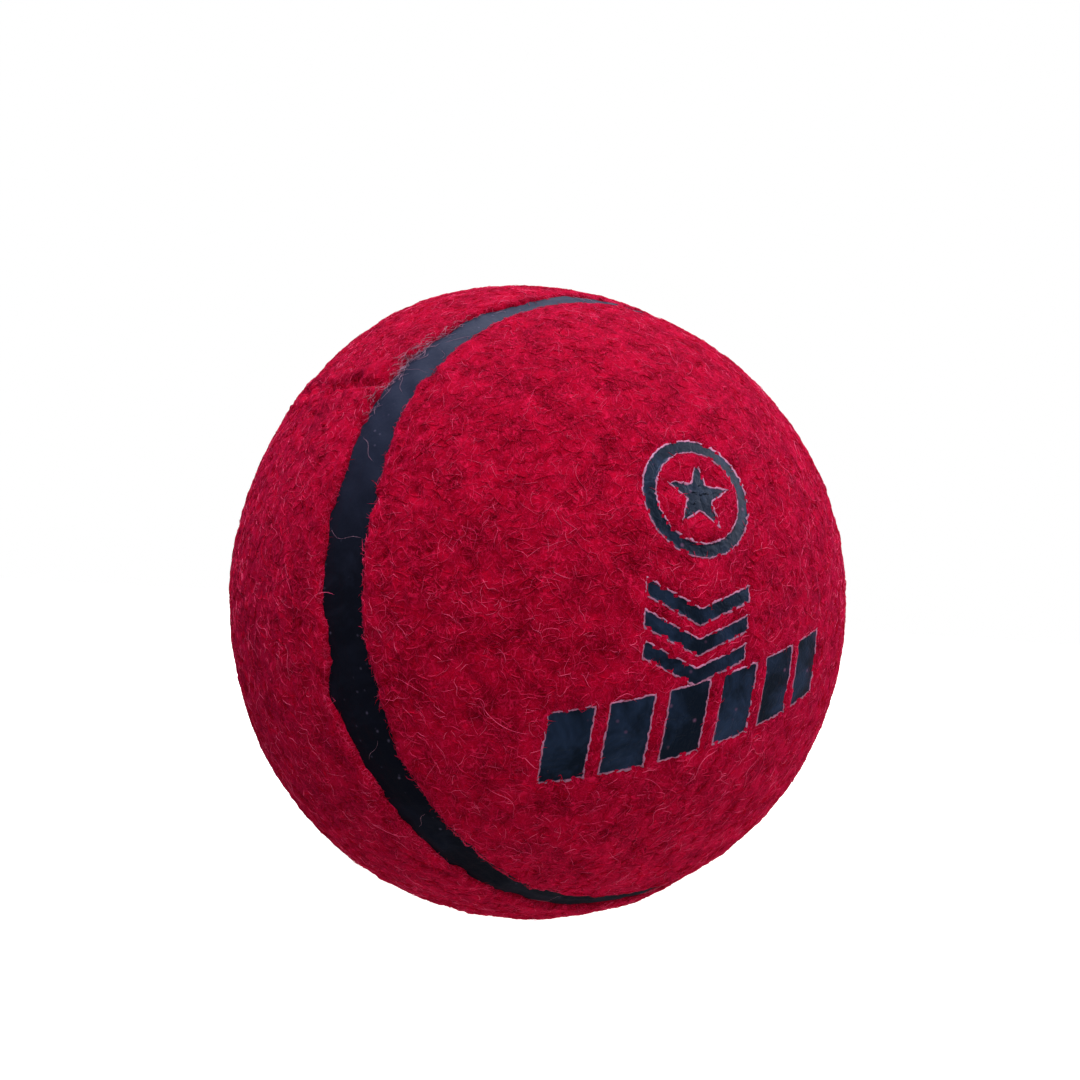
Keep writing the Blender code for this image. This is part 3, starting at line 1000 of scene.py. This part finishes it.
def scatter(count, random, keep):
    """Random directions over the whole ball for which keep(directions) is true."""
    found = np.zeros((0, 3))
    while len(found) < count:
        p = unit(random.normal(size=(count, 3)))
        found = np.vstack([found, p[keep(p)]])
    return found[:count]


def lay_hairs(name, centres, facing, random, length, thickness, lift, material, curl=1.3, stops=5):
    """One batch. Length, thickness and lift are (low, high) in mm; lift is how far the middle
    or one end of the hair stands clear of what is under it."""
    count = len(centres)
    paths = hair_paths(centres, facing, MM * random.uniform(*length, count), stops, curl, random)
    height = top_radius(paths.reshape(-1, 3)).reshape(count, stops)
    height = 0.6 * height + 0.4 * height.mean(1, keepdims=True)
    share = np.linspace(0, 1, stops)[None]
    free = random.uniform(size=count)[:, None] < 0.25
    rise = MM * random.uniform(*lift, count)[:, None] * np.where(free, share**2, np.sin(np.pi * share))
    paths = paths * (height + rise)[..., None]
    girth = MM * random.uniform(*thickness, count)
    return make_piece(name, tube_points(paths, girth), tube_faces(count, stops - 2), material)


def top_radius(points):
    """Distance from the centre of what hairs lie on: the felt, or the rubber where it is bare."""
    depth, _ = edge_depth(points)
    rubber = BALL - SEAM_SINK + swelling(unit(points))
    return np.where(depth > 0, felt_radius(points), rubber + 0.03 * MM)


def on_felt(directions):
    """True for directions on felt, clear of its edges and of the film."""
    depth, _ = edge_depth(directions)
    return (depth > 0.06 * MM) & (print_distance(directions) > 0.06 * MM)


wool_crimson = fibre_material("wool_crimson", (0.32, 0.0006, 0.012), (0.60, 0.002, 0.034))
wool_rose = fibre_material("wool_rose", (0.45, 0.002, 0.028), (0.80, 0.036, 0.135))
wool_pale = fibre_material("wool_pale", (0.74, 0.030, 0.13), (0.90, 0.115, 0.26))
wool_lilac = fibre_material("wool_lilac", (0.30, 0.13, 0.22), (0.58, 0.34, 0.48))

# Name, number of hairs, then length, thickness and lift from low to high in mm.
BATCH = 11000
BATCHES = [
    ("wool_bed_1", BATCH, (0.9, 2.0), (0.018, 0.034), (0.0, 0.025), wool_crimson),
    ("wool_bed_2", BATCH, (0.9, 2.0), (0.018, 0.034), (0.0, 0.030), wool_crimson),
    ("wool_curls_1", BATCH, (0.8, 1.9), (0.014, 0.026), (0.0, 0.040), wool_rose),
    ("wool_curls_2", BATCH, (0.7, 1.7), (0.014, 0.026), (0.0, 0.050), wool_rose),
    ("wool_curls_3", BATCH, (0.6, 1.5), (0.012, 0.024), (0.0, 0.060), wool_rose),
    ("wool_tips", 8200, (0.5, 1.7), (0.011, 0.020), (0.01, 0.06), wool_pale),
]
for seed, (name, count, length, thickness, lift, material) in enumerate(BATCHES, start=101):
    random = np.random.default_rng(seed)
    centres = scatter(count, random, on_felt)
    lay_hairs(name, centres, any_way(centres, random), random, length, thickness, lift, material)

# %% [markdown]
# ## Long stray hairs
#
# A few hundred hairs are two or three times as long as the rest and lie on top. They could be
# another batch, but a long hair drawn with five stops would show corners, so these have twelve
# stops each and a gentler curl.

# %% Long hairs
random = np.random.default_rng(120)
centres = scatter(420, random, on_felt)
facing = any_way(centres, random)
length, thickness, lift = (1.8, 3.8), (0.011, 0.019), (0.01, 0.14)
lay_hairs("wool_long_hairs", centres, facing, random, length, thickness, lift, wool_pale, 1.0, 12)


# %% [markdown]
# ## Hairs at the seam
#
# Cut felt frays, so both edges carry short hairs that lean out over the rubber, and a few long
# ones bridge the seam. They are the same tubes as before. Only their centres differ: points of
# the seam's nominal edge, moved to the torn edge that `edge_depth` reports there.

# %% Seam hairs
def edge_points(count, random):
    """Points on the torn edges of the felt, with the direction into the felt: points of the
    nominal edge are moved by their own depth."""
    line = seam_path(1500)
    travel = unit(np.roll(line, -1, axis=0) - np.roll(line, 1, axis=0))
    pick = random.integers(0, len(line), count)
    side = np.where(random.uniform(size=count) < 0.5, 1, -1)[:, None] * np.cross(line, travel)[pick]
    p = unit(line[pick] + side * HALF_SEAM / BALL)
    depth, inward = edge_depth(p)
    return unit(p - inward * (depth / BALL)[:, None]), inward


random = np.random.default_rng(131)
edge, inward = edge_points(9000, random)
centres = unit(edge + inward * (random.normal(0.05, 0.10, len(edge)) * MM / BALL)[:, None])
lean = unit(inward + 1.3 * any_way(centres, random))
length, thickness, lift = (0.30, 0.75), (0.010, 0.020), (0.0, 0.06)
lay_hairs("seam_fringe", centres, lean, random, length, thickness, lift, wool_rose, 1.0)

random = np.random.default_rng(132)
edge, inward = edge_points(70, random)
centres = unit(edge - inward * (HALF_SEAM / BALL))
lean = unit(inward + 0.8 * any_way(centres, random))
length, thickness, lift = (1.2, 3.2), (0.005, 0.010), (0.0, 0.15)
lay_hairs("seam_crossing_hairs", centres, lean, random, length, thickness, lift, wool_lilac, 0.9, 10)

# %% [markdown]
# ## Lint
#
# Grey lint has gathered where the crease runs into the seam. It is picked from a cloud of edge
# points: only those on the cut side of the crease are kept, and fewer the further away they are.

# %% Lint by the crease
LINT_REACH = 6.5 * MM
LINT_COUNT = 170
random = np.random.default_rng(133)
edge, inward = edge_points(30000, random)
offset, _ = seam_offset(edge)
away = np.linalg.norm(edge - CREASE[0], axis=1) * BALL
near = (offset < 0) & (away < LINT_REACH * random.uniform(size=len(edge)))
edge, inward = edge[near][:LINT_COUNT], inward[near][:LINT_COUNT]
centres = unit(edge + inward * (random.normal(0.0, 0.30, len(edge)) * MM / BALL)[:, None])
facing = unit(np.cross(edge, inward) + 0.7 * any_way(centres, random))
length, thickness, lift = (0.5, 1.6), (0.008, 0.015), (0.0, 0.10)
lay_hairs("lint_at_the_crease", centres, facing, random, length, thickness, lift, wool_lilac, 1.4)

# %% [markdown]
# ## Under the felt
#
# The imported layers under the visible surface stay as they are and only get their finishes:
# grey core rubber, amber cement and the woven cloth that backs the felt. A weave is two rows of
# waves at right angles that take turns to be on top.


# %% Hidden layers
def core_material():
    """Filled rubber with a dusty grain."""
    material, tree, shader, place = new_material("core_rubber_surface", 0.7)
    grain = noise_node(tree, place, 900.0, 4.0, 0.7)
    colour = mix_colour(tree, grain, (0.055, 0.050, 0.046), (0.13, 0.12, 0.11))
    tree.links.new(colour, shader.inputs["Base Color"])
    add_bump(tree, shader, grain, 0.05 * MM, 0.6)
    return material


def cement_material():
    """Dried contact cement: amber, lumpy and rather glossy."""
    material, tree, shader, place = new_material("cement_surface", 0.42)
    lumps = noise_node(tree, place, 500.0, 3.0, 0.55)
    colour = mix_colour(tree, lumps, (0.34, 0.19, 0.06), (0.62, 0.43, 0.20))
    tree.links.new(colour, shader.inputs["Base Color"])
    add_bump(tree, shader, lumps, 0.12 * MM, 0.8)
    return material


def backing_material():
    """Plain weave of 0.9 mm yarn: a checker of two wave textures at right angles."""
    material, tree, shader, place = new_material("felt_backing_surface", 0.9)
    yarns = []
    for direction in ("X", "Z"):
        wave = tree.nodes.new("ShaderNodeTexWave")
        wave.bands_direction = direction
        wave.inputs["Scale"].default_value = 350.0
        wave.inputs["Distortion"].default_value = 0.6
        tree.links.new(place, wave.inputs["Vector"])
        yarns.append(wave.outputs["Fac"])
    checker = tree.nodes.new("ShaderNodeTexChecker")
    checker.inputs["Scale"].default_value = 1100.0
    tree.links.new(place, checker.inputs["Vector"])
    first = math_node(tree, "MULTIPLY", yarns[0], checker.outputs["Fac"])
    turned = math_node(tree, "SUBTRACT", 1.0, checker.outputs["Fac"])
    height = math_node(tree, "ADD", first, math_node(tree, "MULTIPLY", yarns[1], turned))
    colour = mix_colour(tree, height, (0.20, 0.012, 0.022), (0.52, 0.06, 0.09))
    tree.links.new(colour, shader.inputs["Base Color"])
    add_bump(tree, shader, height, 0.15 * MM, 0.8)
    return material


HIDDEN = {
    core_material(): ["core_cup_left", "core_cup_right"],
    cement_material(): ["core_joint_cement", "panel_cement_a", "panel_cement_b"],
    backing_material(): ["felt_backing_a", "felt_backing_b"],
}
for material, nodes in HIDDEN.items():
    for node in nodes:
        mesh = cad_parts[node].data
        mesh.materials.clear()
        mesh.materials.append(material)
    print(material.name, "on", len(nodes), "packed pieces")

# %% [markdown]
# ## Floor, light and camera
#
# The ball lies on a plain pale floor that gives its own even light. A real table would block
# the light from below, so the floor is seen by the camera only, and soft square lights stand
# on every side as in a studio tent: three above, one under the table and one in front. The
# last two are kept out of reflections, where they would draw grey patches on the rubber.

# %% Stage
def stage_material(name, colour, strength):
    """A plain pale surface that gives its own even light."""
    material = bpy.data.materials.new(name)
    material.use_nodes = True
    shader = material.node_tree.nodes["Principled BSDF"]
    shader.inputs["Base Color"].default_value = (*colour, 1.0)
    shader.inputs["Emission Color"].default_value = (*colour, 1.0)
    shader.inputs["Emission Strength"].default_value = strength
    shader.inputs["Roughness"].default_value = 1.0
    shader.inputs["Specular IOR Level"].default_value = 0.0
    return material


bpy.ops.mesh.primitive_plane_add(size=6.0, location=(0, 0, -BALL - 0.1 * MM))
floor = bpy.context.object
floor.name = "studio_floor"
floor.data.materials.append(stage_material("studio_white", (0.9, 0.9, 0.9), 1.25))
floor.visible_diffuse = False
floor.visible_glossy = False
floor.visible_shadow = False

world = bpy.data.worlds.new("studio")
bpy.context.scene.world = world
world.use_nodes = True
tree = world.node_tree
background = tree.nodes["Background"]
background.inputs["Color"].default_value = (0.88, 0.92, 1.0, 1.0)
background.inputs["Strength"].default_value = 0.12
seen = tree.nodes.new("ShaderNodeBackground")
seen.inputs["Color"].default_value = (1.0, 1.0, 1.0, 1.0)
choice = tree.nodes.new("ShaderNodeMixShader")
path = tree.nodes.new("ShaderNodeLightPath")
tree.links.new(path.outputs["Is Camera Ray"], choice.inputs[0])
tree.links.new(background.outputs[0], choice.inputs[1])
tree.links.new(seen.outputs[0], choice.inputs[2])
tree.links.new(choice.outputs[0], tree.nodes["World Output"].inputs["Surface"])


SOFTBOX_SIDE = 0.40


def softbox(name, place, power, colour):
    """A square area light aimed at the ball. Place is in metres and power in watts."""
    light = bpy.data.lights.new(name, "AREA")
    light.size = SOFTBOX_SIDE
    light.energy = power
    light.color = colour
    lamp = bpy.data.objects.new(name, light)
    lamp.location = place
    lamp.rotation_euler = (-Vector(place)).to_track_quat("-Z", "Y").to_euler()
    bpy.context.scene.collection.objects.link(lamp)
    return lamp


softbox("overhead_softbox", (0.15, -0.18, 0.49), 3.5, (1.0, 0.98, 1.0))
softbox("back_softbox", (-0.07, -0.04, 0.54), 1.1, (0.85, 0.90, 1.0))
softbox("side_softbox", (0.45, 0.20, 0.25), 1.15, (1.0, 0.97, 1.0))
glow = softbox("glow_under_the_table", (0.08, 0.22, -0.50), 2.7, (1.0, 0.92, 0.76))
front = softbox("front_softbox", (0.35, -0.42, -0.02), 0.68, (1.0, 0.93, 0.85))
for lamp in (glow, front):
    lamp.visible_glossy = False

# %% [markdown]
# ## Camera
#
# The camera is very close, less than half a ball's width from the felt, with a wide lens. That
# is what makes the near lobe look so large. Its place is given as a turn round the ball, a
# height angle and a distance in ball radii, and it looks a little above the ball's centre.

# %% Camera
CAMERA_AZIMUTH = math.radians(40.6)
CAMERA_ELEVATION = math.radians(-2.7)
CAMERA_DISTANCE = 1.80 * BALL
LOOK_AZIMUTH = math.radians(40.6)
LOOK_UP = math.radians(8.0)
CAMERA_ROLL = math.radians(3.6)
LENS_MM = 15.44

camera = bpy.data.objects.new("camera", bpy.data.cameras.new("camera"))
bpy.context.scene.collection.objects.link(camera)
camera.data.lens = LENS_MM
camera.data.sensor_width = 36.0
camera.data.clip_start = 0.002
camera.location = CAMERA_DISTANCE * Vector((
    math.sin(CAMERA_AZIMUTH) * math.cos(CAMERA_ELEVATION),
    -math.cos(CAMERA_AZIMUTH) * math.cos(CAMERA_ELEVATION),
    math.sin(CAMERA_ELEVATION),
))
turn = Matrix.Rotation(LOOK_AZIMUTH, 3, "Z")
tilt = Matrix.Rotation(math.pi / 2 + LOOK_UP, 3, "X")
roll = Matrix.Rotation(CAMERA_ROLL, 3, "Z")
camera.rotation_euler = (turn @ tilt @ roll).to_euler()
bpy.context.scene.camera = camera
bpy.context.scene.view_settings.view_transform = "Standard"

print(f"camera {(CAMERA_DISTANCE - BALL) * 1000:.0f} mm from the felt")
